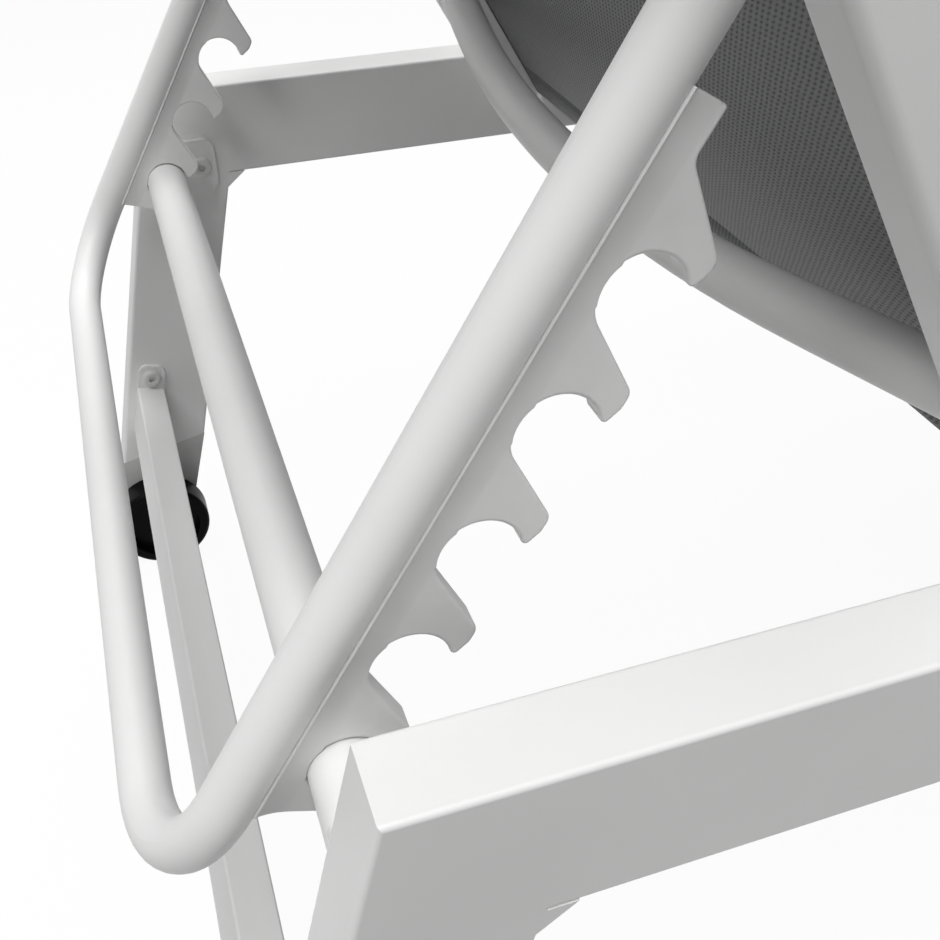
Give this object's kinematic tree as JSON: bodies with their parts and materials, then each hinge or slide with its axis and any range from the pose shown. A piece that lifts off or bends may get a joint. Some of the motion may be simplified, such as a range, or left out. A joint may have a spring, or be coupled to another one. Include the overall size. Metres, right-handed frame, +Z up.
{
  "type": "sun lounger",
  "caption": "Sun lounger with a mesh sling on a white tube frame, two small wheels and a reclining backrest held by a notched prop.",
  "frame": {"origin": "on the ground, at the middle of the lounger's length and width", "axes": "+X from the head end to the foot end, +Y to the left of someone lying on it, +Z up"},
  "size_m": [1.6922, 0.6272, 0.9643],
  "materials": {
    "frame_paint": "satin",
    "rack": "satin",
    "sling": "matte",
    "edge_rod": "matte",
    "bolt": "satin",
    "washer": "matte",
    "moulding": "matte",
    "end_cap": "matte",
    "wheel": "satin"
  },
  "bodies": {
    "frame": {"rail_left": "frame_paint", "rail_right": "frame_paint", "head_leg_left": "frame_paint", "head_leg_right": "frame_paint", "foot_leg_left": "frame_paint", "foot_leg_right": "frame_paint", "cross_bar": "frame_paint", "bar_flanges": "frame_paint", "head_stretcher": "frame_paint", "foot_stretcher": "frame_paint", "head_tabs": "frame_paint", "foot_tabs": "frame_paint", "seat_member_left": "frame_paint", "seat_member_right": "frame_paint", "seat_brace_1": "frame_paint", "seat_brace_2": "frame_paint", "seat_brace_3": "frame_paint", "seat_end_bar": "frame_paint", "seat_sling": "sling", "seat_cord_left": "edge_rod", "seat_cord_right": "edge_rod", "flange_bolts": "bolt", "head_tab_bolts": "bolt", "foot_tab_bolts": "bolt", "seat_bolts": "bolt", "hinge_bolts": "bolt", "axle_bolts": "bolt", "hinge_washers": "washer", "wheel_socket_left": "moulding", "wheel_socket_right": "moulding", "foot_cap_left": "moulding", "foot_cap_right": "moulding", "seat_caps": "end_cap"},
    "backrest": {"back_member_left": "frame_paint", "back_member_right": "frame_paint", "back_brace": "frame_paint", "back_end_bar": "frame_paint", "back_sling": "sling", "back_cord_left": "edge_rod", "back_cord_right": "edge_rod", "back_caps": "end_cap", "pivot_bolts": "bolt", "pivot_washers": "washer"},
    "prop": {"prop_tube": "frame_paint", "prop_plugs": "end_cap", "rack_left": "rack", "rack_right": "rack"},
    "left_wheel": {"wheel_left": "wheel"},
    "right_wheel": {"wheel_right": "wheel"}
  },
  "joints": [
    {"name": "recline", "type": "hinge", "parent": "frame", "child": "backrest", "pos_m": [-0.47123, 0, 0.353], "axis": [0, -1, 0], "range_deg": [0, 59.1]},
    {"name": "prop_swing", "type": "hinge", "parent": "backrest", "child": "prop", "pos_m": [-0.6064, 0, 0.56731], "axis": [0, -1, 0], "range_deg": [-110, 0]},
    {"name": "left_wheel_spin", "type": "hinge", "parent": "frame", "child": "left_wheel", "pos_m": [-0.77133, 0.2677, 0.036], "axis": [0, 1, 0], "continuous": true},
    {"name": "right_wheel_spin", "type": "hinge", "parent": "frame", "child": "right_wheel", "pos_m": [-0.77133, -0.2677, 0.036], "axis": [0, 1, 0], "continuous": true}
  ],
  "couplings": [
    {"joint": "prop_swing", "follows": "recline", "ratio": -1.85}
  ]
}
